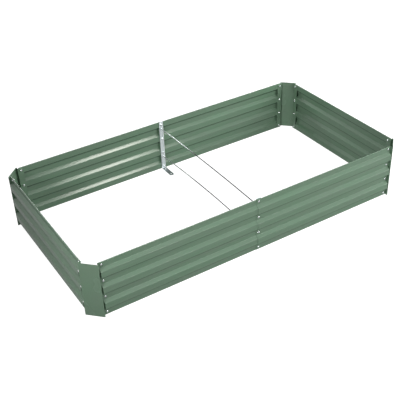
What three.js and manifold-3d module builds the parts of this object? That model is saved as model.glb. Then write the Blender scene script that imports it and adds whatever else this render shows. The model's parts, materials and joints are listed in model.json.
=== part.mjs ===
// Raised garden bed: corrugated steel wall panels bolted to four chamfered corner plates.
// Each long wall is two panels lapped at mid length, where an L-shaped brace stiffens the seam,
// and two thin tie rods cross the bed from brace to brace.
// Millimetres, +Z up. The origin is on the ground at the centre of the bed; the long walls run
// along X. Every wall is built as the front wall, outside face towards -Y, and then turned.
import * as THREE from 'three';
import { mergeVertices } from 'three/addons/utils/BufferGeometryUtils.js';
import Module from 'manifold-3d';

const wasm = await Module();
wasm.setup();

// ---- Driving dimensions ----

// Bed, measured between the inner faces of facing walls
const bedLength = 1800;
const bedWidth = 930;
const cornerSetback = 70;      // from where two walls would cross to their corner bolts

// Sheet and fits
const panelSheet = 0.8;
const cornerSheet = 1;
const seatGap = 0.3;           // air between two pieces that touch
const holeClearance = 0.5;     // a hole's radius over that of its bolt or rod

// Corrugation of a wall panel, from the ground up
const ridgeCount = 3;
const bottomLand = 32;
const landHeight = 33;         // flat band between two ridges, which takes the bolts
const topLand = 34;
const crownHeight = 33;        // flat crown of a ridge
const flankHeight = 11.5;      // sloping side of a ridge, seen square on
const ridgeDepth = 15.5;       // how far a ridge stands out of the wall
const panelBend = 2.5;         // bend radius at the middle of the sheet

// Rolled hem along the top edge, turned outwards
const hemDepth = 4.6;
const hemDrop = 7;

// Lapped seam of a long wall
const seamLap = 13;            // from the seam bolts to each panel's end
const hemNotchSpare = 3;       // the hidden panel's hem stops this far short of the lap

// Corner plate
const flangeMargin = 13;       // from its bolts to the flange's free edge
const stepReach = 17;          // from its bolts to the step that closes the panel's end
const apexRise = 17.5;         // how far the step stands out of the wall
const cornerDrop = 2;          // from the wall's top edge down to the plate's
const cornerBend = 2;
const longPanelGap = 5;        // between a long wall's end and the step
const endPanelGap = 3;         // the same for an end wall's panel, which is cut longer

// Brace: flat strap up the wall, foot turned inwards on the ground
const braceWidth = 25;
const braceThickness = 2.5;
const braceRise = 4;           // the strap's end above the wall's top edge
const braceBend = 4;
const footLength = 100;
const footHoleRadius = 4.5;
const footHoleFromTip = 16;
const footHoleFromHeel = 21;

// Bolts and their nuts
const topBoltDrop = 15;        // top row's centre below the wall's top edge
const boltRadius = 3;
const boltHeadRadius = 5.5;
const boltHeadHeight = 3.6;
const boltTail = 3;            // thread showing past the nut
const boltNutAcrossFlats = 10;
const boltNutHeight = 5;

// Tie rods and their nuts
const rodRadius = 2.5;
const rodRise = 47;            // above the foot of the ridge whose hollow takes the rod's end
const rodTail = 2;
const rodNutAcrossFlats = 8;
const rodNutHeight = 4;
const upperRodBow = 7;         // the thin rods bow a little sideways
const lowerRodBow = 14;

// Facets
const roundSides = 8;
const tipSides = 24;
const bendSteps = 2;
const rodSteps = 16;

// ---- Worked-out sizes ----

const ridgeHeight = crownHeight + 2 * flankHeight;
const ridgePitch = ridgeHeight + landHeight;
const topRidge = ridgeCount - 1;
const wallHeight = bottomLand + topRidge * ridgePitch + ridgeHeight + topLand;
const ridgeFoot = (index) => bottomLand + index * ridgePitch;

const boltRows = [bottomLand / 2];
for (let i = 0; i < topRidge; i++) boltRows.push(ridgeFoot(i) + ridgeHeight + landHeight / 2);
boltRows.push(wallHeight - topBoltDrop);

const longColumn = bedLength / 2 - cornerSetback;      // corner bolts from mid wall
const endColumn = bedWidth / 2 - cornerSetback;
const longPanelReach = stepReach - cornerSheet / 2 - longPanelGap;
const endPanelReach = stepReach - cornerSheet / 2 - endPanelGap;
const cornerInset = seatGap + cornerSheet / 2;         // flange's mid plane inside the wall

// Two lapped panels nest until their flanks meet, so the outer one stands off by more than
// its own sheet. It closes up again towards the corner, which tilts it slightly.
const flankSquareness = flankHeight / Math.hypot(flankHeight, ridgeDepth);
const lapShift = (panelSheet + seatGap) / flankSquareness;
const lapTilt = Math.asin(lapShift / longColumn);

const braceHeight = wallHeight + braceRise;
const braceFace = seatGap + braceThickness;            // brace's inner face from the wall
const upperRodHeight = ridgeFoot(topRidge) + rodRise;
const lowerRodHeight = ridgeFoot(0) + rodRise;

// ---- Materials ----

const greenPaint = new THREE.MeshStandardMaterial({ color: 0x6b8372, roughness: 0.45, metalness: 0.1 });
const cornerPaint = new THREE.MeshStandardMaterial({ color: 0x67806f, roughness: 0.45, metalness: 0.1 });
const galvanised = new THREE.MeshStandardMaterial({ color: 0xc3d0d2, roughness: 0.4, metalness: 0.9 });
const brightZinc = new THREE.MeshStandardMaterial({ color: 0xdfe4e6, roughness: 0.25, metalness: 1 });

// ---- Shapes ----

// A strip's middle line through the given corners, each [x, y, bend radius], with the bends
// drawn as short arcs.
function bentPath(corners) {
  const points = corners.map(([x, y]) => new THREE.Vector2(x, y));
  const path = [points[0]];
  for (let i = 1; i < points.length - 1; i++) {
    const back = points[i - 1].clone().sub(points[i]).normalize();
    const ahead = points[i + 1].clone().sub(points[i]).normalize();
    const halfAngle = Math.acos(back.dot(ahead)) / 2;
    const radius = corners[i][2];
    const reach = radius / Math.tan(halfAngle);
    const centre = back.clone().add(ahead).setLength(radius / Math.sin(halfAngle)).add(points[i]);
    const start = back.multiplyScalar(reach).add(points[i]);
    const end = ahead.multiplyScalar(reach).add(points[i]);
    const from = start.clone().sub(centre).angle();
    const sweep = Math.atan2(start.clone().sub(centre).cross(end.clone().sub(centre)),
      start.clone().sub(centre).dot(end.clone().sub(centre)));
    for (let step = 0; step <= bendSteps; step++) {
      const angle = from + sweep * step / bendSteps;
      const point = new THREE.Vector2(Math.cos(angle), Math.sin(angle)).multiplyScalar(radius).add(centre);
      if (point.distanceTo(path.at(-1)) > 0.01) path.push(point);
    }
  }
  path.push(points.at(-1));
  return path;
}

// The closed outline of a strip of sheet that follows a path.
function sheetOutline(path, thickness) {
  const left = [];
  const right = [];
  const square = (from, to) => {
    const along = to.clone().sub(from).normalize();
    return new THREE.Vector2(-along.y, along.x);
  };
  path.forEach((point, i) => {
    const before = i > 0 ? square(path[i - 1], point) : square(point, path[1]);
    const after = i < path.length - 1 ? square(point, path[i + 1]) : before;
    const mitre = before.clone().add(after).normalize();
    mitre.multiplyScalar(thickness / 2 / mitre.dot(before));
    left.push(point.clone().add(mitre));
    right.unshift(point.clone().sub(mitre));
  });
  return new THREE.Shape([...left, ...right]);
}

function solidFrom(geometry) {
  geometry.deleteAttribute('normal');
  geometry.deleteAttribute('uv');
  const merged = mergeVertices(geometry, 1e-4);
  return new wasm.Manifold(new wasm.Mesh({
    numProp: 3,
    vertProperties: merged.attributes.position.array,
    triVerts: new Uint32Array(merged.index.array),
  }));
}

function meshFrom(solid, name, material) {
  const { vertProperties, triVerts } = solid.getMesh();
  const geometry = new THREE.BufferGeometry();
  geometry.setAttribute('position', new THREE.BufferAttribute(vertProperties, 3));
  geometry.setIndex(new THREE.BufferAttribute(triVerts, 1));
  geometry.computeVertexNormals();
  const mesh = new THREE.Mesh(geometry, material);
  mesh.name = name;
  return mesh;
}

// Extrudes an outline drawn with x outwards (-Y) and y up along the wall, from xLow to xHigh.
function extrudeAlongWall(outline, xLow, xHigh) {
  const geometry = new THREE.ExtrudeGeometry(outline, { depth: xHigh - xLow, bevelEnabled: false });
  const turn = new THREE.Matrix4().makeBasis(
    new THREE.Vector3(0, -1, 0), new THREE.Vector3(0, 0, 1), new THREE.Vector3(-1, 0, 0));
  return solidFrom(geometry.applyMatrix4(turn).translate(xHigh, 0, 0));
}

// A round bar or cutter along Y, with flats facing up, down and sideways.
function barAlongY(radius, x, z, yLow, yHigh, sides = roundSides) {
  const geometry = new THREE.CylinderGeometry(radius, radius, yHigh - yLow, sides, 1, false,
    Math.PI / sides);
  return solidFrom(geometry.translate(x, (yLow + yHigh) / 2, z));
}

function box(xLow, xHigh, yLow, yHigh, zLow, zHigh) {
  const geometry = new THREE.BoxGeometry(xHigh - xLow, yHigh - yLow, zHigh - zLow);
  return solidFrom(geometry.translate((xLow + xHigh) / 2, (yLow + yHigh) / 2, (zLow + zHigh) / 2));
}

// Hexagonal nut along Y.
function nut(acrossFlats, z, yLow, yHigh) {
  return barAlongY(acrossFlats / Math.sqrt(3), 0, z, yLow, yHigh, 6);
}

// ---- Wall panel ----
// The wall's inner face is the plane y = 0 of the panel's own frame; ridges stand out to -Y.

function panelOutline() {
  const mid = panelSheet / 2;
  const corners = [[mid, 0, 0]];
  for (let i = 0; i < ridgeCount; i++) {
    const foot = ridgeFoot(i);
    corners.push(
      [mid, foot, panelBend],
      [mid + ridgeDepth, foot + flankHeight, panelBend],
      [mid + ridgeDepth, foot + flankHeight + crownHeight, panelBend],
      [mid, foot + ridgeHeight, panelBend]);
  }
  const hemRadius = (hemDepth - panelSheet) / 2;
  corners.push(
    [mid, wallHeight - mid, hemRadius],
    [hemDepth - mid, wallHeight - mid, hemRadius],
    [hemDepth - mid, wallHeight - hemDrop, 0]);
  return sheetOutline(bentPath(corners), panelSheet);
}

// A panel from xLow to xHigh with bolt holes in each land at the given columns.
function panel(xLow, xHigh, columns) {
  let solid = extrudeAlongWall(panelOutline(), xLow, xHigh);
  for (const x of columns) {
    for (const z of boltRows) {
      solid = solid.subtract(barAlongY(boltRadius + holeClearance, x, z, -ridgeDepth, ridgeDepth));
    }
  }
  return solid;
}

function notchHem(solid, xLow, xHigh) {
  return solid.subtract(box(xLow, xHigh, -2 * hemDepth, -panelSheet, wallHeight - 2 * hemDrop,
    wallHeight + hemDrop));
}

// ---- Corner plate ----
// Drawn about the point where the inner faces of the rear and right walls would cross.

function cornerPlate() {
  const bolts = -cornerSetback;
  const step = bolts + stepReach;
  const edge = bolts - flangeMargin;
  const path = bentPath([
    [edge, -cornerInset, 0],
    [step, -cornerInset, cornerBend],
    [step, apexRise, cornerBend],
    [apexRise, step, cornerBend],
    [-cornerInset, step, cornerBend],
    [-cornerInset, edge, 0]]);
  const geometry = new THREE.ExtrudeGeometry(sheetOutline(path, cornerSheet),
    { depth: wallHeight - cornerDrop, bevelEnabled: false });
  let solid = solidFrom(geometry);
  for (const z of boltRows) {
    const hole = barAlongY(boltRadius + holeClearance, 0, z, -apexRise, apexRise);
    solid = solid.subtract(hole.translate([bolts, 0, 0]));
    solid = solid.subtract(hole.rotate([0, 0, 90]).translate([0, bolts, 0]));
  }
  return solid;
}

// ---- Brace ----
// In the front wall's frame: the strap stands just inside y = 0 and the foot points to +Y.

function brace() {
  const mid = seatGap + braceThickness / 2;
  const path = bentPath([
    [-mid, braceHeight, 0],
    [-mid, braceThickness / 2, braceBend],
    [-mid - footLength, braceThickness / 2, 0]]);
  const half = braceWidth / 2;
  const tip = mid + footLength;
  let solid = extrudeAlongWall(sheetOutline(path, braceThickness), -half, half);

  const above = 4 * braceThickness;
  const pillar = (radius, y, sides) => barAlongY(radius, 0, 0, -above, above, sides)
    .rotate([90, 0, 0]).translate([0, y, 0]);
  const squareTip = box(-braceWidth, braceWidth, tip - half, tip + half, -above, above);
  solid = solid.subtract(squareTip.subtract(pillar(half, tip - half, tipSides)));
  solid = solid.subtract(pillar(footHoleRadius, tip - footHoleFromTip, tipSides));
  solid = solid.subtract(pillar(footHoleRadius, footHoleFromHeel, tipSides));

  for (const z of boltRows) {
    solid = solid.subtract(barAlongY(boltRadius + holeClearance, 0, z, -braceWidth, braceWidth));
  }
  for (const z of [lowerRodHeight, upperRodHeight]) {
    solid = solid.subtract(barAlongY(rodRadius + holeClearance, 0, z, -braceWidth, braceWidth));
  }
  return solid;
}

// ---- Fasteners ----
// One solid for a bolt and the nut screwed onto it. Head towards -Y, seated headSeat outside
// the wall's inner face; nut seated nutSeat inside it.

function boltWithNut(headSeat, nutSeat) {
  const nutTop = nutSeat + boltNutHeight;
  const profile = [
    [0, nutTop + boltTail],
    [boltRadius, nutTop + boltTail],
    [boltRadius, -headSeat],
    [boltHeadRadius, -headSeat],
    [boltHeadRadius * 0.93, -headSeat - boltHeadHeight * 0.5],
    [boltHeadRadius * 0.6, -headSeat - boltHeadHeight * 0.92],
    [0, -headSeat - boltHeadHeight]];
  const outline = profile.map(([radius, y]) => new THREE.Vector2(radius, y)).reverse();
  const bolt = solidFrom(new THREE.LatheGeometry(outline, roundSides, Math.PI / roundSides));
  return bolt.add(nut(boltNutAcrossFlats, 0, nutSeat, nutTop));
}

// Tie rod between the two braces, with the nut inside each brace screwed onto it. The straight
// ends pass through the braces; the stretch between the inner nuts bows sideways.
function tieRod(bow) {
  const nutNear = bedWidth / 2 - braceFace - seatGap;
  const nutFar = nutNear - rodNutHeight;
  const bendStart = (nutNear + nutFar) / 2;
  const end = bedWidth / 2 + rodNutHeight + rodTail;
  const curve = new THREE.QuadraticBezierCurve3(
    new THREE.Vector3(0, -bendStart, 0),
    new THREE.Vector3(2 * bow, 0, 0),
    new THREE.Vector3(0, bendStart, 0));
  const ring = [];
  for (let i = 0; i < roundSides; i++) {
    const angle = (i + 0.5) * 2 * Math.PI / roundSides;
    ring.push(new THREE.Vector2(Math.cos(angle), Math.sin(angle)).multiplyScalar(rodRadius));
  }
  let solid = solidFrom(new THREE.ExtrudeGeometry(new THREE.Shape(ring),
    { extrudePath: curve, steps: rodSteps, bevelEnabled: false }));
  for (const side of [-1, 1]) {
    const [low, high] = [bendStart * side, end * side].sort((a, b) => a - b);
    solid = solid.add(barAlongY(rodRadius, 0, 0, low, high));
    const [nutLow, nutHigh] = [nutFar * side, nutNear * side].sort((a, b) => a - b);
    solid = solid.add(nut(rodNutAcrossFlats, 0, nutLow, nutHigh));
  }
  return solid;
}

// Loose nut on a rod's end, in the hollow of a ridge behind the brace.
function outerRodNut() {
  return nut(rodNutAcrossFlats, 0, -rodNutHeight, 0)
    .subtract(barAlongY(rodRadius + seatGap, 0, 0, -2 * rodNutHeight, rodNutHeight));
}

// ---- Assembly ----

const bed = new THREE.Group();
bed.name = 'raised_garden_bed';

function place(parent, solid, name, material, position, turn = 0) {
  const mesh = meshFrom(solid, name, material);
  mesh.position.set(...position);
  mesh.rotation.z = turn;
  parent.add(mesh);
}

const rightAngle = Math.PI / 2;
const cornerBolt = boltWithNut(panelSheet + seatGap, cornerSheet + 2 * seatGap);
const seamBolt = boltWithNut(lapShift + panelSheet + seatGap, braceFace + seatGap);
const hiddenPanel = notchHem(
  panel(-longPanelReach, longColumn + seamLap, [0, longColumn]),
  longColumn - seamLap - hemNotchSpare, longColumn + 2 * seamLap);
const lappingPanel = panel(-longColumn - seamLap, longPanelReach, [-longColumn, 0]);
const endPanel = panel(-endColumn - endPanelReach, endColumn + endPanelReach, [-endColumn, endColumn]);
const braceSolid = brace();
const rodNut = outerRodNut();

function addBolts(wall, wallName, joint, solid, x) {
  boltRows.forEach((z, row) => {
    place(wall, solid, `bolt_${wallName}_${joint}_${row + 1}`, brightZinc, [x, 0, z]);
  });
}

// Left and right are as seen from outside the wall.
function longWall(name, leftEnd, rightEnd, turn) {
  const wall = new THREE.Group();
  wall.rotation.z = turn;
  wall.position.set(0, -bedWidth / 2, 0).applyAxisAngle(new THREE.Vector3(0, 0, 1), turn);
  place(wall, hiddenPanel, `wall_panel_${name}_${leftEnd}`, greenPaint, [-longColumn, 0, 0]);
  place(wall, lappingPanel, `wall_panel_${name}_${rightEnd}`, greenPaint, [longColumn, 0, 0], lapTilt);
  place(wall, braceSolid, `brace_${name}`, galvanised, [0, 0, 0]);
  addBolts(wall, name, leftEnd, cornerBolt, -longColumn);
  addBolts(wall, name, 'seam', seamBolt, 0);
  addBolts(wall, name, rightEnd, cornerBolt, longColumn);
  place(wall, rodNut, `rod_nut_lower_${name}`, brightZinc, [0, 0, lowerRodHeight]);
  place(wall, rodNut, `rod_nut_upper_${name}`, brightZinc, [0, 0, upperRodHeight]);
  bed.add(wall);
}

function endWall(name, leftEnd, rightEnd, turn) {
  const wall = new THREE.Group();
  wall.rotation.z = turn;
  wall.position.set(0, -bedLength / 2, 0).applyAxisAngle(new THREE.Vector3(0, 0, 1), turn);
  place(wall, endPanel, `wall_panel_${name}`, greenPaint, [0, 0, 0]);
  addBolts(wall, name, leftEnd, cornerBolt, -endColumn);
  addBolts(wall, name, rightEnd, cornerBolt, endColumn);
  bed.add(wall);
}

longWall('front', 'left', 'right', 0);
endWall('right', 'front', 'rear', rightAngle);
longWall('rear', 'right', 'left', 2 * rightAngle);
endWall('left', 'rear', 'front', 3 * rightAngle);

const plate = cornerPlate();
[['rear_right', 1, 1], ['rear_left', -1, 1], ['front_left', -1, -1], ['front_right', 1, -1]]
  .forEach(([name, sideX, sideY], quarter) => {
    place(bed, plate, `corner_plate_${name}`, cornerPaint,
      [sideX * bedLength / 2, sideY * bedWidth / 2, 0], quarter * rightAngle);
  });

place(bed, tieRod(lowerRodBow), 'tie_rod_lower', brightZinc, [0, 0, lowerRodHeight]);
place(bed, tieRod(upperRodBow), 'tie_rod_upper', brightZinc, [0, 0, upperRodHeight]);

export default bed;
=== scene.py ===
import json
import math

import bmesh
import bpy
from mathutils import Matrix, Vector

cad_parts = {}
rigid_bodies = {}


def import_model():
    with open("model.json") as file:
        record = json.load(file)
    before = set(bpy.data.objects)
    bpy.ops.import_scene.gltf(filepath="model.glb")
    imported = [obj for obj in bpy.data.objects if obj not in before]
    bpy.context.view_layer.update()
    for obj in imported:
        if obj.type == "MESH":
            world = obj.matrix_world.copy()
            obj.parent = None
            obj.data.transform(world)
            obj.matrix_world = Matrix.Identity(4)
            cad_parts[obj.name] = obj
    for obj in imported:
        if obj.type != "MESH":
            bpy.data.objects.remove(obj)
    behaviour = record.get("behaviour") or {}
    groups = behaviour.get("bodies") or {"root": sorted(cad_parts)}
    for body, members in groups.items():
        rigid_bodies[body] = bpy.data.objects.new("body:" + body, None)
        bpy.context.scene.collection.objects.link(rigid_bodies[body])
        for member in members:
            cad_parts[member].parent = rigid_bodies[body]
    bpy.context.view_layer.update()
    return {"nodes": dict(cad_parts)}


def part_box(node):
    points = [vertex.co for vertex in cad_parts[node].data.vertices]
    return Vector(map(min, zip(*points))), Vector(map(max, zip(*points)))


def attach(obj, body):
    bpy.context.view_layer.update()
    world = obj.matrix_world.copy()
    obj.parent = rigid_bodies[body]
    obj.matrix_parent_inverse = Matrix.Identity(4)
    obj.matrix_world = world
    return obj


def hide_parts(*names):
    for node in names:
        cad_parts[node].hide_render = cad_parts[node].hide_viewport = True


# Raised garden bed of corrugated steel: painted wall panels and corner plates, galvanised braces,
# thin tie rods. Sizes in the dictionaries are millimetres; Blender objects are in metres.
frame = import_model()
mm = 0.001
bendShading = 30                                     # degrees; faces that meet at less look like one bend
print("frame loaded:", len(frame["nodes"]), "nodes")

# the same bed as the CAD holds: inner faces of facing walls, and how close its pieces sit
bed = {
    "length": 1800, "width": 930, "cornerSetback": 70,
    "seatGap": 0.3, "holeClearance": 0.5,
}
turnsOfWalls = {"front": 0, "right": 90, "rear": 180, "left": 270}
endsOfLongWalls = {"front": ("left", "right"), "rear": ("right", "left")}   # as seen from outside


def wallPlace(wall):                                 # a wall's own frame: inner face y = 0, outside -y
    span = bed["width"] if wall in ("front", "rear") else bed["length"]
    turn = Matrix.Rotation(math.radians(turnsOfWalls[wall]), 4, "Z")
    return turn @ Matrix.Translation((0, -span / 2 * mm, 0))


# where the photo was taken from, solved from its bolts and straight edges
camera = {
    "position": (-1.77351, -2.88112, 2.34036),       # metres
    "azimuth": 30.986, "elevation": 34.29, "roll": -2.324,
    "focalLength": 68.786, "sensor": 36, "farthest": 100,
}


def addCamera():
    azimuth, elevation, roll = (math.radians(camera[key]) for key in ("azimuth", "elevation", "roll"))
    ahead = Vector((math.sin(azimuth) * math.cos(elevation), math.cos(azimuth) * math.cos(elevation),
                    -math.sin(elevation)))
    level = ahead.cross(Vector((0, 0, 1))).normalized()
    above = level.cross(ahead)
    right = math.cos(roll) * level + math.sin(roll) * above
    up = math.cos(roll) * above - math.sin(roll) * level
    data = bpy.data.cameras.new("photoCamera")
    data.lens = camera["focalLength"]
    data.sensor_width = camera["sensor"]
    data.clip_end = camera["farthest"]
    shot = bpy.data.objects.new("photoCamera", data)
    shot.matrix_world = Matrix((right, up, -ahead)).transposed().to_4x4()
    shot.matrix_world.translation = camera["position"]
    bpy.context.scene.collection.objects.link(shot)
    bpy.context.scene.camera = shot


addCamera()
print("camera placed")


def fromHex(code):                                   # sRGB hex to the linear colour that shaders take
    channels = [int(code[i:i + 2], 16) / 255 for i in (1, 3, 5)]
    return [c / 12.92 if c <= 0.04045 else ((c + 0.055) / 1.055) ** 2.4 for c in channels] + [1]


def addNode(tree, kind, inputs=None, **settings):    # sockets are linked, anything else is a value
    node = tree.nodes.new("ShaderNode" + kind)
    for name, value in settings.items():
        setattr(node, name, value)
    for key, value in (inputs or {}).items():
        if isinstance(value, bpy.types.NodeSocket):
            tree.links.new(value, node.inputs[key])
        else:
            node.inputs[key].default_value = value
    return node


def newMaterial(name):
    material = bpy.data.materials.new(name)
    material.use_nodes = True
    material.node_tree.nodes.clear()
    return material, material.node_tree


def stretchedNoise(tree, sizes, detail=2):           # sizes: mm of one blotch along x, y and z
    place = addNode(tree, "TexCoord").outputs["Object"]
    scaled = addNode(tree, "Mapping", {"Vector": place, "Scale": [1 / (size * mm) for size in sizes]})
    return addNode(tree, "TexNoise", {"Vector": scaled.outputs[0], "Scale": 1, "Detail": detail}).outputs[0]


def between(tree, factor, low, high, fromLow=0.3, fromHigh=0.7):
    # a value turned into another range; 0.3 to 0.7 is where most of a noise lies
    return addNode(tree, "MapRange", {"Value": factor, "From Min": fromLow, "From Max": fromHigh,
                                      "To Min": low, "To Max": high}).outputs[0]


def blendColours(tree, factor, first, second):
    return addNode(tree, "Mix", {0: factor, 6: first, 7: second}, data_type="RGBA").outputs[2]


def repeatedBand(tree, height, foldShade, foldHeight):
    # at each pitch up the sheet: rises from 0 to 1 over the width below the fold, and is 1 on its flank
    pitch, top = foldShade["pitch"], foldShade["width"] + foldShade["flank"]
    start = (foldHeight - foldShade["width"]) * mm
    turns = addNode(tree, "Math", {0: height, 1: start}, operation="SUBTRACT").outputs[0]
    turns = addNode(tree, "Math", {0: turns, 1: pitch * mm}, operation="DIVIDE").outputs[0]
    share = addNode(tree, "Math", {0: turns}, operation="FRACT").outputs[0]
    rise = between(tree, share, 0, 1, 0, foldShade["width"] / pitch)
    fall = between(tree, share, 1, 0, top / pitch, (top + foldShade["edge"]) / pitch)
    return addNode(tree, "Math", {0: rise, 1: fall}, operation="MULTIPLY").outputs[0]


def paintedShadeUnderFolds(tree, foldShade):
    # painted shade: the overhanging flank of each fold, and a soft edge below it, drawn darker;
    # seen from inside and from outside it lies at different heights
    place = addNode(tree, "TexCoord")
    height = addNode(tree, "SeparateXYZ", {0: place.outputs["Object"]}).outputs[2]
    inward = addNode(tree, "SeparateXYZ", {0: place.outputs["Normal"]}).outputs[1]
    inside = repeatedBand(tree, height, foldShade, foldShade["insideFold"])
    outside = repeatedBand(tree, height, foldShade, foldShade["outsideFold"])
    side = addNode(tree, "Math", {0: inward, 1: 0}, operation="GREATER_THAN").outputs[0]
    band = addNode(tree, "Mix", {0: side, 2: outside, 3: inside}).outputs[0]
    strength = between(tree, height, foldShade["strength"], 0, foldShade["highest"] * mm,
                       (foldShade["highest"] + foldShade["edge"]) * mm)
    return addNode(tree, "Math", {0: band, 1: strength}, operation="MULTIPLY").outputs[0]


def bakedEnamel(name, settings):
    # polyester enamel baked on roll-formed steel coil: satin gloss, very faint lengthwise bands from
    # the rollers, and an orange peel that softens the edges of what it reflects; real peel is 1 to
    # 2 mm wide, and it is drawn at 5 mm so that it shows
    material, tree = newMaterial(name)
    bands = stretchedNoise(tree, settings["bandSize"])
    cloud = stretchedNoise(tree, settings["cloudSize"], detail=3)
    colour = blendColours(tree, between(tree, bands, 0, 1), fromHex(settings["colour"]),
                          fromHex(settings["bandColour"]))
    colour = blendColours(tree, between(tree, cloud, 0, settings["cloudStrength"]), colour,
                          fromHex(settings["cloudColour"]))
    # painted shade: dark bands under each fold
    if "foldShade" in settings:
        colour = blendColours(tree, paintedShadeUnderFolds(tree, settings["foldShade"]), colour,
                              fromHex(settings["foldShadeColour"]))
    peel = stretchedNoise(tree, [settings["peelSize"]] * 3)
    dents = stretchedNoise(tree, settings["dentSize"], detail=1)
    waves = addNode(tree, "Bump", {"Height": dents, "Strength": 1, "Distance": settings["dentDepth"] * mm})
    skin = addNode(tree, "Bump", {"Height": peel, "Strength": 1, "Distance": settings["peelDepth"] * mm,
                                  "Normal": waves.outputs[0]})
    paint = addNode(tree, "BsdfPrincipled", {
        "Base Color": colour,
        "Roughness": between(tree, bands, settings["roughness"][0], settings["roughness"][1]),
        "IOR": 1.5,
        "Normal": skin.outputs[0],
    })
    addNode(tree, "OutputMaterial", {"Surface": paint.outputs[0]})
    return material


wallEnamel = {
    "colour": "#617F67", "bandColour": "#66846C", "cloudColour": "#6C7C6D", "cloudStrength": 0.5,
    "bandSize": (700, 60, 9), "cloudSize": (260, 260, 45),
    "peelSize": 5, "peelDepth": 0.012, "dentSize": (210, 210, 70), "dentDepth": 0.35,
    # the dark colour here and the bands below are painted shade under each fold
    "roughness": (0.2, 0.25), "foldShadeColour": "#28402E",
    "foldShade": {"pitch": 89, "insideFold": 76.5, "outsideFold": 32, "flank": 11.5, "highest": 270,
              "width": 7, "edge": 1, "strength": 0.64},
}
cornerEnamel = {
    "colour": "#66836B", "bandColour": "#69866F", "cloudColour": "#6C7C6D", "cloudStrength": 0.4,
    "bandSize": (120, 120, 200), "cloudSize": (90, 90, 120),
    "peelSize": 5, "peelDepth": 0.012, "dentSize": (120, 120, 160), "dentDepth": 0.2,
    "roughness": (0.24, 0.3),
}


def galvanisedSteel(name, settings):
    # hot-dip galvanised flat bar: bright bluish grey spangles a few millimetres wide, each with its
    # own tone, over a soft metallic sheen; the foot's flat top is drawn darker.
    # A thin dull oxide on the bar is why it isn't fully metallic
    material, tree = newMaterial(name)
    place = addNode(tree, "TexCoord").outputs["Object"]
    crystals = addNode(tree, "TexVoronoi", {"Vector": place, "Scale": 1 / (settings["spangleSize"] * mm)},
                       feature="F1")
    tone = addNode(tree, "SeparateColor", {0: crystals.outputs["Color"]}).outputs[0]
    wear = stretchedNoise(tree, settings["wearSize"], detail=4)
    colour = blendColours(tree, tone, fromHex(settings["colour"]), fromHex(settings["spangleColour"]))
    colour = blendColours(tree, between(tree, wear, 0, settings["wearStrength"]), colour,
                          fromHex(settings["wearColour"]))
    height = addNode(tree, "SeparateXYZ", {0: place}).outputs[2]
    facing = addNode(tree, "SeparateXYZ", {0: addNode(tree, "NewGeometry").outputs["Normal"]}).outputs[2]
    # darker on faces that point up within a few millimetres of the ground: the foot's flat top
    footTopLow, footTopHigh = settings["footTopHeights"]
    low = between(tree, height, settings["footTopStrength"], 0, footTopLow * mm, footTopHigh * mm)
    flat = between(tree, facing, 0, 1, *settings["footTopFacing"])
    darkFootTop = addNode(tree, "Math", {0: low, 1: flat}, operation="MULTIPLY").outputs[0]
    colour = blendColours(tree, darkFootTop, colour, fromHex(settings["footTopColour"]))
    dimples = addNode(tree, "Bump", {"Height": wear, "Strength": 1, "Distance": settings["wearDepth"] * mm})
    metal = addNode(tree, "BsdfPrincipled", {
        "Base Color": colour,
        "Metallic": settings["metallic"],
        "Roughness": between(tree, tone, settings["roughness"][0], settings["roughness"][1], 0, 1),
        "Normal": dimples.outputs[0],
    })
    addNode(tree, "OutputMaterial", {"Surface": metal.outputs[0]})
    return material


braceZinc = {
    "colour": "#E0EAEC", "spangleColour": "#F0F6F7", "wearColour": "#B4C0C4",
    "spangleSize": 4, "wearSize": (14, 14, 30), "wearStrength": 0.5, "wearDepth": 0.04,
    # the darker colour of the foot's flat top
    "footTopColour": "#6C7577", "footTopStrength": 0.85, "footTopHeights": (3, 9), "footTopFacing": (0.9, 0.98),
    "metallic": 0.75, "roughness": (0.36, 0.5),
}


def zincPlate(name, settings):
    # electroplated zinc on steel, as on small fasteners and drawn rod: bright and slightly blue,
    # with faint drawing marks and a little uneven gloss; on a rod, painted reflection makes it nearly
    # black from the front wall to past the middle of the bed, and it keeps its bright zinc by the rear wall
    material, tree = newMaterial(name)
    marks = stretchedNoise(tree, settings["markSize"], detail=3)
    colour = blendColours(tree, between(tree, marks, 0, 1), fromHex(settings["colour"]),
                          fromHex(settings["markColour"]))
    # painted reflection: the rod is drawn nearly black along its front and middle
    if "darkReflectionColour" in settings:
        along = addNode(tree, "SeparateXYZ", {0: addNode(tree, "TexCoord").outputs["Object"]}).outputs[1]
        darkReflection = between(tree, along, 1, 0, settings["darkReflectionTo"] * mm, settings["brightFrom"] * mm)
        colour = blendColours(tree, darkReflection, colour, fromHex(settings["darkReflectionColour"]))
    scratches = addNode(tree, "Bump", {"Height": marks, "Strength": 1,
                                       "Distance": settings["markDepth"] * mm})
    metal = addNode(tree, "BsdfPrincipled", {
        "Base Color": colour,
        "Metallic": 1,
        "Roughness": between(tree, marks, settings["roughness"][0], settings["roughness"][1]),
        "Normal": scratches.outputs[0],
    })
    addNode(tree, "OutputMaterial", {"Surface": metal.outputs[0]})
    return material


rodZinc = {
    "colour": "#B6BCBC", "markColour": "#A1A8A8", "markSize": (0.8, 40, 0.8), "markDepth": 0.01,
    # the dark colour and the span it covers along the rod are painted reflection
    "darkReflectionColour": "#2C2E2F", "darkReflectionTo": 120, "brightFrom": 210, "roughness": (0.3, 0.42),
}
fastenerZinc = {
    "colour": "#F0F3F3", "markColour": "#D3D9DA", "markSize": (1.6, 1.6, 1.6), "markDepth": 0.01,
    "roughness": (0.16, 0.26),
}

finishes = {
    "wall_paint": bakedEnamel("satinGreenEnamelOnSheet", wallEnamel),
    "corner_paint": bakedEnamel("satinGreenEnamelOnPlate", cornerEnamel),
    "galvanised_brace": galvanisedSteel("galvanisedFlatBar", braceZinc),
    "zinc_rod": zincPlate("zincPlatedRod", rodZinc),
    "zinc_fastener": zincPlate("brightZincFastener", fastenerZinc),
}
print("materials made:", len(finishes))


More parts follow.
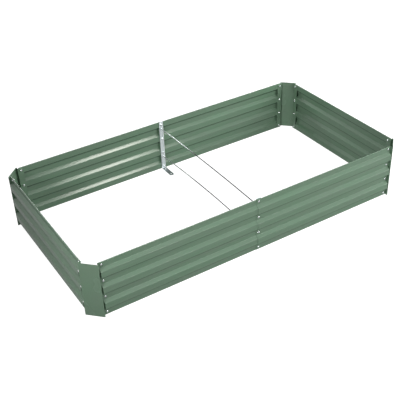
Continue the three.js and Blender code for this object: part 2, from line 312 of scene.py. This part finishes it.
def bentPath(corners, steps):                        # corners (x, y, bend radius); bends become arcs
    touching = 0.01
    points = [Vector(corner[:2]) for corner in corners]
    path = [points[0]]
    for i in range(1, len(points) - 1):
        back = (points[i - 1] - points[i]).normalized()
        forward = (points[i + 1] - points[i]).normalized()
        halfAngle = back.angle(forward) / 2
        radius = corners[i][2]
        centre = points[i] + (back + forward).normalized() * (radius / math.sin(halfAngle))
        start = points[i] + back * (radius / math.tan(halfAngle)) - centre
        end = points[i] + forward * (radius / math.tan(halfAngle)) - centre
        sweep = math.atan2(start.cross(end), start.dot(end))
        joined = (centre + start - path[-1]).length < touching
        for step in range(1 if joined else 0, steps + 1):
            path.append(centre + Matrix.Rotation(sweep * step / steps, 2) @ start)
    return path + [points[-1]]


def withRims(path):
    # a narrow strip at each end of a flat, so that smooth shading stays in the bends
    rim, shortestFlat = 0.25, 2
    rimmed = [path[0]]
    for before, after in zip(path, path[1:]):
        step = (after - before).normalized() * rim
        if (after - before).length > shortestFlat:
            rimmed += [before + step, after - step]
        rimmed.append(after)
    return rimmed


def sheetOutline(path, thickness):                   # both faces of a strip that follows the path
    squares = [Vector((-(b - a).y, (b - a).x)).normalized() for a, b in zip(path, path[1:])]
    left, right = [], []
    for i, point in enumerate(path):
        before, after = squares[max(i - 1, 0)], squares[min(i, len(squares) - 1)]
        mitre = (before + after).normalized()
        mitre *= thickness / 2 / mitre.dot(before)
        left.append(point + mitre)
        right.append(point - mitre)
    return left + right[::-1]


def finishMesh(work, name):                          # millimetres to metres, smooth bends, crisp edges
    bmesh.ops.recalc_face_normals(work, faces=work.faces)
    mesh = bpy.data.meshes.new(name)
    work.to_mesh(mesh)
    work.free()
    mesh.transform(Matrix.Scale(mm, 4))
    mesh.shade_smooth()
    mesh.set_sharp_from_angle(angle=math.radians(bendShading))
    return mesh


def bmeshOf(mesh):                                   # back to millimetres, to go on working on it
    work = bmesh.new()
    work.from_mesh(mesh)
    work.transform(Matrix.Scale(1 / mm, 4))
    bpy.data.meshes.remove(mesh)
    return work


def ringStrip(work, rings, closedRings, closedEnds):  # quads between rings of points
    vertices = [[work.verts.new(point) for point in ring] for ring in rings]
    size = len(rings[0])
    pairs = list(zip(vertices, vertices[1:])) + ([(vertices[-1], vertices[0])] if closedRings else [])
    for first, second in pairs:
        for i in range(size):
            j = (i + 1) % size
            work.faces.new((first[i], first[j], second[j], second[i]))
    if closedEnds:
        work.faces.new(vertices[0][::-1])
        work.faces.new(vertices[-1])


def sweptSheet(outline, low, high, steps, toPoint):
    # the outline at steps from low to high along the sheet; toPoint turns (along, point) into x, y, z
    work = bmesh.new()
    places = [low + (high - low) * i / steps for i in range(steps + 1)]
    ringStrip(work, [[toPoint(at, point) for point in outline] for at in places], False, True)
    return work


def hexagonRadius(angle, acrossFlats):
    return acrossFlats / 2 / math.cos((angle + math.pi / 6) % (math.pi / 3) - math.pi / 6)


def turned(work, profile, sides, closed=False):
    # profile rows are (radius, y) about the Y axis; a radius may be a function of the angle, and
    # then y may be one too. A row of radius 0 is a point.
    rings = []
    for radius, y in profile:
        ring = []
        for side in range(sides):
            angle = 2 * math.pi * side / sides
            r = radius(angle) if callable(radius) else radius
            ring.append((r * math.cos(angle), y(angle) if callable(y) else y, r * math.sin(angle)))
        rings.append(ring)
    ringStrip(work, rings, closed, False)


def closeTips(work):                                 # tips of turned pieces, where rings shrink to a point
    samePoint = 0.0005
    bmesh.ops.remove_doubles(work, verts=work.verts, dist=samePoint)


def drum(work, radius, centre, direction, length, sides):   # round cutter for a hole
    turn = Vector((0, 0, 1)).rotation_difference(Vector(direction)).to_matrix().to_4x4()
    bmesh.ops.create_cone(work, cap_ends=True, segments=sides, radius1=radius, radius2=radius,
                          depth=length, matrix=Matrix.Translation(centre) @ turn)


def applied(mesh, kind, **settings):                 # one modifier, applied; bends stay smooth
    body = bpy.data.objects.new("work", mesh)
    bpy.context.scene.collection.objects.link(body)
    step = body.modifiers.new(kind, kind)
    for name, value in settings.items():
        setattr(step, name, value)
    bpy.context.view_layer.update()
    result = bpy.data.meshes.new_from_object(body.evaluated_get(bpy.context.evaluated_depsgraph_get()))
    result.name = mesh.name
    bpy.data.meshes.remove(mesh)
    result.shade_smooth()
    result.set_sharp_from_angle(angle=math.radians(bendShading))
    return result


def cutAway(mesh, cutter):                           # cutter is a bmesh in millimetres, used up here
    tool = bpy.data.objects.new("cutter", finishMesh(cutter, "cutter"))
    bpy.context.scene.collection.objects.link(tool)
    result = applied(mesh, "BOOLEAN", object=tool, operation="DIFFERENCE", solver="EXACT")
    bpy.data.meshes.remove(tool.data)
    return result


def addPiece(name, mesh, place, slot, node):
    piece = bpy.data.objects.new(name, mesh)
    piece.matrix_world = place
    bpy.context.scene.collection.objects.link(piece)
    if not mesh.materials:
        mesh.materials.append(finishes[slot])
    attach(piece, "root")
    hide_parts(node)


# M6 pan heads outside, nuts inside; shares are of the radius, height or recess that they belong to
bolts = {
    "radius": 3, "headRadius": 5.5, "headHeight": 3.6, "rimShare": 0.22, "domePower": 0.8, "domeSteps": 8,
    "tail": 3, "threadPitch": 1, "threadDepth": 0.3, "threadIntoNut": 1, "tipLength": 0.5, "tipShare": 0.8,
    "nutAcrossFlats": 10, "nutHeight": 5, "nutBore": 3.1, "recessSpan": 5.6, "recessWidth": 1.3,
    "recessDepth": 1.9, "recessRise": 1, "recessTopShare": 1.1, "recessEndShare": 0.6, "sides": 36,
    "turnBetween": 47,
}
nutEdges = {"faceShare": 0.95, "slope": 30, "lip": 0.4}      # flat face, corner chamfer and bore's edge
drilled = {"depth": 8, "sides": 24}                          # cutter for a hole through one sheet


def chamferedNut(work, acrossFlats, height, bore, low, sides):
    chamfer = nutEdges["faceShare"] * acrossFlats / 2        # radius of the flat face, inside the corners
    slope = math.tan(math.radians(nutEdges["slope"]))
    lip = nutEdges["lip"]

    def across(angle):
        return hexagonRadius(angle, acrossFlats)

    def fall(angle):
        return (across(angle) - chamfer) * slope

    turned(work, [
        (bore, low + lip), (bore + lip, low), (chamfer, low),
        (across, lambda angle: low + fall(angle)), (across, lambda angle: low + height - fall(angle)),
        (chamfer, low + height), (bore + lip, low + height), (bore, low + height - lip)],
        sides, closed=True)


def threadRows(radius, depth, pitch, low, high):     # rows of a helical thread, upwards
    rowsPerTurn = 6
    rows = []
    count = max(2, round((high - low) / pitch * rowsPerTurn))
    for i in range(count + 1):
        y = low + (high - low) * i / count

        def crest(angle, y=y):
            phase = (y / pitch - angle / (2 * math.pi)) % 1
            return radius - depth * abs(2 * phase - 1)
        rows.append((crest, y))
    return rows


def boltMesh(headTop, tailEnd):                      # pan head with a cross recess, thread and its nut
    b = bolts
    seat = headTop + b["headHeight"]
    nutLow = tailEnd - b["tail"] - b["nutHeight"]
    work = bmesh.new()
    dome = []
    for i in range(b["domeSteps"] + 1):              # from the top of the dome to the head's rim
        angle = math.pi / 2 * i / b["domeSteps"]
        rise = b["rimShare"] + (1 - b["rimShare"]) * math.cos(angle) ** b["domePower"]
        dome.append((b["headRadius"] * math.sin(angle) ** b["domePower"], seat - b["headHeight"] * rise))
    dome[0] = (0, dome[0][1])
    shank = [(b["headRadius"], seat), (b["radius"], seat)]
    threadStart = nutLow + b["nutHeight"] - b["threadIntoNut"]
    thread = threadRows(b["radius"], b["threadDepth"], b["threadPitch"], threadStart,
                        tailEnd - b["tipLength"])
    tip = [(b["radius"] * b["tipShare"], tailEnd), (0, tailEnd)]
    turned(work, dome + shank + thread + tip, b["sides"])
    closeTips(work)
    mesh = finishMesh(work, "bolt")
    recess = bmesh.new()                             # a cross that narrows towards its bottom
    half, thin = b["recessSpan"] / 2, b["recessWidth"] / 2
    quarter = [(half, -thin), (half, thin), (thin, thin)]
    cross = [(x * c - z * t, x * t + z * c)
             for c, t in ((1, 0), (0, 1), (-1, 0), (0, -1)) for x, z in quarter]
    levels = ((b["recessTopShare"], headTop - b["recessRise"]),
              (b["recessEndShare"], headTop + b["recessDepth"]))
    ringStrip(recess, [[(x * share, y, z * share) for x, z in cross] for share, y in levels], False, True)
    whole = bmeshOf(cutAway(mesh, recess))
    chamferedNut(whole, b["nutAcrossFlats"], b["nutHeight"], b["nutBore"], nutLow, b["sides"])
    return finishMesh(whole, "boltAndNut")


def addBolts():
    made = {}
    for node in frame["nodes"]:
        if not node.startswith("bolt_"):
            continue
        wall, joint, row = node.split("_")[1:]
        toWall = wallPlace(wall).inverted()
        low, high = (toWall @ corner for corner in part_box(node))
        middle = (low + high) / 2
        headTop, tailEnd = min(low.y, high.y) / mm, max(low.y, high.y) / mm
        key = (round(headTop, 1), round(tailEnd, 1))
        if key not in made:
            made[key] = boltMesh(headTop, tailEnd)
        place = wallPlace(wall) @ Matrix.Translation((middle.x, 0, middle.z))
        madeSoFar = len(bpy.data.objects)
        stop = bolts["turnBetween"] * madeSoFar % 360        # each stops at its own turn when tightened
        tighten = Matrix.Rotation(math.radians(stop), 4, "Y")
        addPiece(f"pan_head_bolt_{wall}_{joint}_{row}", made[key], place @ tighten, "zinc_fastener", node)


addBolts()
print("bolts and nuts made")


def middleHeight(node):
    low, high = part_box(node)
    return (low.z + high.z) / 2 / mm


# one corrugated profile for all six wall panels
panel = {
    "sheet": 0.8, "ridges": 3, "bottomLand": 32, "land": 33, "topLand": 34, "crown": 33, "flank": 11.5,
    "ridgeDepth": 15.5, "bend": 2.5, "bendSteps": 6, "hemDepth": 4.6, "hemDrop": 7,
    "seamLap": 13, "hemNotchSpare": 3, "notchClear": 0.05, "longReach": 11.5, "endReach": 13.5,
    "lengthSteps": 12,
}
ridgeHeight = panel["crown"] + 2 * panel["flank"]
ridgePitch = ridgeHeight + panel["land"]
wallHeight = panel["bottomLand"] + panel["topLand"] + ridgeHeight + (panel["ridges"] - 1) * ridgePitch
longColumn = bed["length"] / 2 - bed["cornerSetback"]        # corner bolts from mid wall
endColumn = bed["width"] / 2 - bed["cornerSetback"]
boltRows = sorted(middleHeight(f"bolt_front_seam_{row}") for row in (1, 2, 3, 4))
# two lapped panels nest flank on flank, so the outer one stands off by more than its own sheet
lapShift = ((panel["sheet"] + bed["seatGap"])
            * math.hypot(panel["flank"], panel["ridgeDepth"]) / panel["flank"])


def panelOutline():
    mid, depth, bend = panel["sheet"] / 2, panel["ridgeDepth"], panel["bend"]
    corners = [(mid, 0, 0)]
    for i in range(panel["ridges"]):
        foot = panel["bottomLand"] + i * ridgePitch
        corners += [(mid, foot, bend), (mid + depth, foot + panel["flank"], bend),
                    (mid + depth, foot + panel["flank"] + panel["crown"], bend),
                    (mid, foot + ridgeHeight, bend)]
    hemRadius = (panel["hemDepth"] - panel["sheet"]) / 2
    corners += [(mid, wallHeight - mid, hemRadius), (panel["hemDepth"] - mid, wallHeight - mid, hemRadius),
                (panel["hemDepth"] - mid, wallHeight - panel["hemDrop"], 0)]
    return sheetOutline(withRims(bentPath(corners, panel["bendSteps"])), panel["sheet"])


def panelMesh(name, low, high, columns, notch=None):
    work = sweptSheet(panelOutline(), low, high, panel["lengthSteps"],
                      lambda at, point: (at, -point.x, point.y))
    mesh = finishMesh(work, name)
    cutter = bmesh.new()
    for column in columns:
        for row in boltRows:
            drum(cutter, bolts["radius"] + bed["holeClearance"], (column, 0, row), (0, 1, 0),
                 drilled["depth"], drilled["sides"])
    if notch:
        middle, length = (notch[0] + notch[1]) / 2, notch[1] - notch[0]
        size = Matrix.Diagonal((length, 2 * panel["hemDepth"], 3 * panel["hemDrop"], 1))
        hemFace = -panel["sheet"] - panel["notchClear"]          # the cut stays a hair off the sheet's face
        centre = (middle, hemFace - panel["hemDepth"], wallHeight - panel["hemDrop"] / 2)
        bmesh.ops.create_cube(cutter, size=1, matrix=Matrix.Translation(centre) @ size)
    return cutAway(mesh, cutter)


def addPanels():
    lapEnd = panel["seamLap"]
    hidden = panelMesh("panelUnderLap", -panel["longReach"], longColumn + lapEnd, (0, longColumn),
                       (longColumn - lapEnd - panel["hemNotchSpare"], longColumn + 2 * lapEnd))
    lapping = panelMesh("panelOverLap", -longColumn - lapEnd, panel["longReach"], (-longColumn, 0))
    reach = endColumn + panel["endReach"]
    short = panelMesh("endPanel", -reach, reach, (-endColumn, endColumn))
    tilt = Matrix.Rotation(math.asin(lapShift / longColumn), 4, "Z")
    for wall in ("front", "rear"):
        leftEnd, rightEnd = endsOfLongWalls[wall]
        leftPlace = wallPlace(wall) @ Matrix.Translation((-longColumn * mm, 0, 0))
        rightPlace = wallPlace(wall) @ Matrix.Translation((longColumn * mm, 0, 0)) @ tilt
        addPiece(f"panel_{wall}_{leftEnd}", hidden, leftPlace, "wall_paint", f"wall_panel_{wall}_{leftEnd}")
        addPiece(f"panel_{wall}_{rightEnd}", lapping, rightPlace, "wall_paint",
                 f"wall_panel_{wall}_{rightEnd}")
    for wall in ("left", "right"):
        addPiece(f"panel_{wall}_end", short, wallPlace(wall), "wall_paint", f"wall_panel_{wall}")


addPanels()
print("wall panels made")


# folded plates: a bolting flange, a step and half of the chamfer on each side
corner = {
    "sheet": 1, "flangeMargin": 13, "stepReach": 17, "apexRise": 17.5, "drop": 2, "bend": 2, "bendSteps": 6,
    "lengthSteps": 6,
}


def cornerMesh():
    setback = bed["cornerSetback"]
    inset = bed["seatGap"] + corner["sheet"] / 2
    step, edge = corner["stepReach"] - setback, -setback - corner["flangeMargin"]
    apex, bend = corner["apexRise"], corner["bend"]
    path = bentPath([(edge, -inset, 0), (step, -inset, bend), (step, apex, bend), (apex, step, bend),
                     (-inset, step, bend), (-inset, edge, 0)], corner["bendSteps"])
    work = sweptSheet(sheetOutline(withRims(path), corner["sheet"]), 0, wallHeight - corner["drop"],
                      corner["lengthSteps"], lambda at, point: (point.x, point.y, at))
    mesh = finishMesh(work, "cornerPlate")
    cutter = bmesh.new()
    for row in boltRows:
        hole = bolts["radius"] + bed["holeClearance"]
        drum(cutter, hole, (-setback, 0, row), (0, 1, 0), drilled["depth"], drilled["sides"])
        drum(cutter, hole, (0, -setback, row), (1, 0, 0), drilled["depth"], drilled["sides"])
    return cutAway(mesh, cutter)


def addCorners():
    mesh = cornerMesh()
    for quarter, (side, x, y) in enumerate((("rear_right", 1, 1), ("rear_left", -1, 1),
                                            ("front_left", -1, -1), ("front_right", 1, -1))):
        place = Matrix.Translation((x * bed["length"] / 2 * mm, y * bed["width"] / 2 * mm, 0))
        place = place @ Matrix.Rotation(math.radians(90 * quarter), 4, "Z")
        addPiece(f"corner_{side}", mesh, place, "corner_paint", f"corner_plate_{side}")


addCorners()
print("corner plates made")


# L-shaped straps up the middle seams, and the rods that tie them together
brace = {
    "width": 25, "thickness": 2.5, "rise": 4, "bend": 4, "bendSteps": 8, "footLength": 100,
    "footHole": 4.5, "holeFromTip": 16, "holeFromHeel": 21, "edgeRound": 0.35, "tipSides": 48,
    "drillDepth": 20, "footHoleSides": 32,
}
rods = {
    "radius": 2.5, "tail": 2, "nutAcrossFlats": 8, "nutHeight": 4, "nutBore": 2.55, "threadPitch": 0.8,
    "threadDepth": 0.25, "threadLength": 28, "tipLength": 0.4, "tipShare": 0.8, "rise": 47,
    "upperBow": 7, "lowerBow": 14, "sides": 18, "steps": 60, "nutSides": 36,
}
rodHeights = {
    "upper": panel["bottomLand"] + (panel["ridges"] - 1) * ridgePitch + rods["rise"],
    "lower": panel["bottomLand"] + rods["rise"],
}


def braceMesh():
    middle = bed["seatGap"] + brace["thickness"] / 2
    half = brace["width"] / 2
    tip = middle + brace["footLength"]
    path = bentPath([(-middle, wallHeight + brace["rise"], 0),
                     (-middle, brace["thickness"] / 2, brace["bend"]),
                     (-tip, brace["thickness"] / 2, 0)], brace["bendSteps"])
    work = sweptSheet(sheetOutline(path, brace["thickness"]), -half, half, 1,
                      lambda at, point: (at, -point.x, point.y))
    mesh = finishMesh(work, "braceStrap")
    corners = bmesh.new()                            # what lies outside the foot's round tip
    square = Matrix.Translation((0, tip, 0)) @ Matrix.Diagonal((4 * half, 2 * half, 4 * half, 1))
    bmesh.ops.create_cube(corners, size=1, matrix=square)
    rounded = bmesh.new()
    drum(rounded, half, (0, tip - half, 0), (0, 0, 1), 6 * half, brace["tipSides"])
    mesh = cutAway(mesh, bmeshOf(cutAway(finishMesh(corners, "tipCorners"), rounded)))
    holes = bmesh.new()
    depth = brace["drillDepth"]
    for along in (tip - brace["holeFromTip"], brace["holeFromHeel"]):
        drum(holes, brace["footHole"], (0, along, 0), (0, 0, 1), depth, brace["footHoleSides"])
    for height in boltRows:
        drum(holes, bolts["radius"] + bed["holeClearance"], (0, 0, height), (0, 1, 0), depth,
             drilled["sides"])
    for height in rodHeights.values():
        drum(holes, rods["radius"] + bed["holeClearance"], (0, 0, height), (0, 1, 0), depth,
             drilled["sides"])
    return applied(cutAway(mesh, holes), "BEVEL", width=brace["edgeRound"] * mm, segments=2,
                   limit_method="ANGLE", angle_limit=math.radians(bendShading))


def addBraces():
    mesh = braceMesh()
    for wall in ("front", "rear"):
        addPiece(f"strap_{wall}", mesh, wallPlace(wall), "galvanised_brace", f"brace_{wall}")


addBraces()
print("braces made")


def rodMesh(bow):                                    # straight threaded ends, a slight bow between them
    half = bed["width"] / 2
    braceFace = bed["seatGap"] + brace["thickness"]
    nutNear = half - braceFace - bed["seatGap"]
    bendStart = nutNear - rods["nutHeight"] / 2
    end = half + rods["nutHeight"] + rods["tail"]
    work = bmesh.new()
    threadEnd = end - rods["threadLength"]
    tip = rods["tipLength"]
    rows = [(0, -end), (rods["radius"] * rods["tipShare"], -end)]
    rows += threadRows(rods["radius"], rods["threadDepth"], rods["threadPitch"], -end + tip, -threadEnd)
    rows += [(rods["radius"], -threadEnd + (2 * threadEnd) * i / rods["steps"])
             for i in range(rods["steps"] + 1)]
    rows += threadRows(rods["radius"], rods["threadDepth"], rods["threadPitch"], threadEnd, end - tip)
    rows += [(rods["radius"] * rods["tipShare"], end), (0, end)]
    turned(work, rows, rods["sides"])
    closeTips(work)
    for vertex in work.verts:                        # a parabola between the inner nuts
        share = vertex.co.y / bendStart
        vertex.co.x += bow * max(0, 1 - share * share)
    return finishMesh(work, "tieRod")


def addRods():
    nutMesh = bmesh.new()
    chamferedNut(nutMesh, rods["nutAcrossFlats"], rods["nutHeight"], rods["nutBore"], 0,
                 rods["nutSides"])
    nutMesh = finishMesh(nutMesh, "rodNut")
    inside = bed["seatGap"] * 2 + brace["thickness"]         # inner nut's seat, from the wall's inner face
    for level, bow in (("lower", rods["lowerBow"]), ("upper", rods["upperBow"])):
        height = rodHeights[level]
        addPiece(f"rod_{level}", rodMesh(bow), Matrix.Translation((0, 0, height * mm)), "zinc_rod",
                 f"tie_rod_{level}")
        for wall in ("front", "rear"):
            for name, y, node in (("inner", inside, f"tie_rod_{level}"),
                                  ("outer", -rods["nutHeight"], f"rod_nut_{level}_{wall}")):
                place = wallPlace(wall) @ Matrix.Translation((0, y * mm, height * mm))
                addPiece(f"rod_{name}_nut_{level}_{wall}", nutMesh, place, "zinc_fastener", node)


addRods()
print("tie rods made")


# white studio: a floor and backdrop that show white, and soft lamps; sizes and places in metres.
# A lamp without an aim faces straight down, one with "lights" reaches only matt colour or only sheen,
# and one with a spread has a grid before it that narrows its beam to so many degrees
studio = {
    "floorSize": 30, "floorDrop": 0.0005, "floorColour": "#A0A0A0", "skyStrength": 0.1,
    "floorGlow": {"Camera": 0.95, "Glossy": 0.25, "Transmission": 0.95},
}
lamps = {
    "overhead": {"size": (0.9, 1.3), "place": (0.6, -0.235, 2.6), "power": 4, "lights": "matt"},
    "overheadSheen": {"size": (0.68, 1.1), "place": (0.57, -0.1, 2.5), "power": 41, "lights": "sheen",
                      "colour": "#FFFBF4"},
    "key": {"size": (0.8, 0.8), "place": (1.0, -3.9, 4.61), "aim": (0, 0, 0.15), "power": 18},
    "front": {"size": (2.0, 0.8), "place": (1.4, -4.0, 2.1), "aim": (0, 0, 0.15), "power": 74},
    "frontRight": {"size": (1.6, 0.8), "place": (2.6, -2.2, 1.5), "aim": (0.4, 0, 0.15), "power": 40},
    "frontLeft": {"size": (0.8, 0.8), "place": (-3.8, -2.3, 2.3), "aim": (0.75, 0.44, 0.1), "power": 3.7,
                  "spread": 31},
    "left": {"size": (0.8, 0.6), "place": (-3.3, -1.2, 1.5), "aim": (-0.5, -0.45, 0.15), "power": 1.3,
             "spread": 34},
    "right": {"size": (1.6, 0.8), "place": (4.6, -0.8, 1.4), "aim": (0, 0, 0.15), "power": 80},
    "rearRight": {"size": (2.0, 1.0), "place": (2.18, 3.77, 2.18), "aim": (0, 0, 0.15), "power": 85},
    "rearLeft": {"size": (1.6, 0.8), "place": (-0.9, 4.0, 2.2), "aim": (0, 0, 0.15), "power": 70},
}


def raysOf(tree, shares):                            # how much of the glow each kind of ray sees
    path = addNode(tree, "LightPath")
    total = None
    for ray, share in shares.items():
        seenBy = path.outputs[f"Is {ray} Ray"]
        part = addNode(tree, "Math", {0: seenBy, 1: share}, operation="MULTIPLY").outputs[0]
        if total is not None:
            part = addNode(tree, "Math", {0: total, 1: part}, operation="MAXIMUM").outputs[0]
        total = part
    return total


def addFloor():
    material, tree = newMaterial("whiteStudioFloor")
    paper = addNode(tree, "BsdfDiffuse", {"Color": fromHex(studio["floorColour"])})
    glow = addNode(tree, "Emission", {"Color": (1, 1, 1, 1), "Strength": raysOf(tree, studio["floorGlow"])})
    both = addNode(tree, "AddShader", {0: paper.outputs[0], 1: glow.outputs[0]})
    addNode(tree, "OutputMaterial", {"Surface": both.outputs[0]})
    work = bmesh.new()
    bmesh.ops.create_grid(work, x_segments=1, y_segments=1, size=studio["floorSize"] / 2 / mm)
    floor = bpy.data.objects.new("studioFloor", finishMesh(work, "studioFloor"))
    floor.location.z = -studio["floorDrop"]          # just under the bed, so that no two faces coincide
    floor.data.materials.append(material)
    bpy.context.scene.collection.objects.link(floor)


def addWorld():
    world = bpy.data.worlds.new("whiteStudio")
    world.use_nodes = True
    tree = world.node_tree
    tree.nodes.clear()
    seen = addNode(tree, "Background", {"Color": (1, 1, 1, 1), "Strength": 1})
    lit = addNode(tree, "Background", {"Color": (1, 1, 1, 1), "Strength": studio["skyStrength"]})
    share = raysOf(tree, {"Camera": 1, "Glossy": 1, "Transmission": 1})
    mixed = addNode(tree, "MixShader", {0: share, 1: lit.outputs[0], 2: seen.outputs[0]})
    addNode(tree, "OutputWorld", {"Surface": mixed.outputs[0]})
    bpy.context.scene.world = world


def addSoftbox(name, settings):
    data = bpy.data.lights.new(name, "AREA")
    data.shape = "RECTANGLE"
    data.size, data.size_y = settings["size"]
    data.energy = settings["power"]
    data.color = fromHex(settings.get("colour", "#FFFFFF"))[:3]
    data.spread = math.radians(settings.get("spread", 180))
    lamp = bpy.data.objects.new(name, data)
    lamp.location = settings["place"]
    if "aim" in settings:
        ahead = Vector(settings["aim"]) - lamp.location
        lamp.rotation_euler = ahead.to_track_quat("-Z", "Y").to_euler()
    lamp.visible_diffuse = settings.get("lights") != "sheen"
    lamp.visible_glossy = settings.get("lights") != "matt"
    lamp.visible_camera = False
    bpy.context.scene.collection.objects.link(lamp)


addFloor()
addWorld()
for name, settings in lamps.items():
    addSoftbox(name + "Softbox", settings)
bpy.context.scene.view_settings.view_transform = "Standard"
print("studio lit")
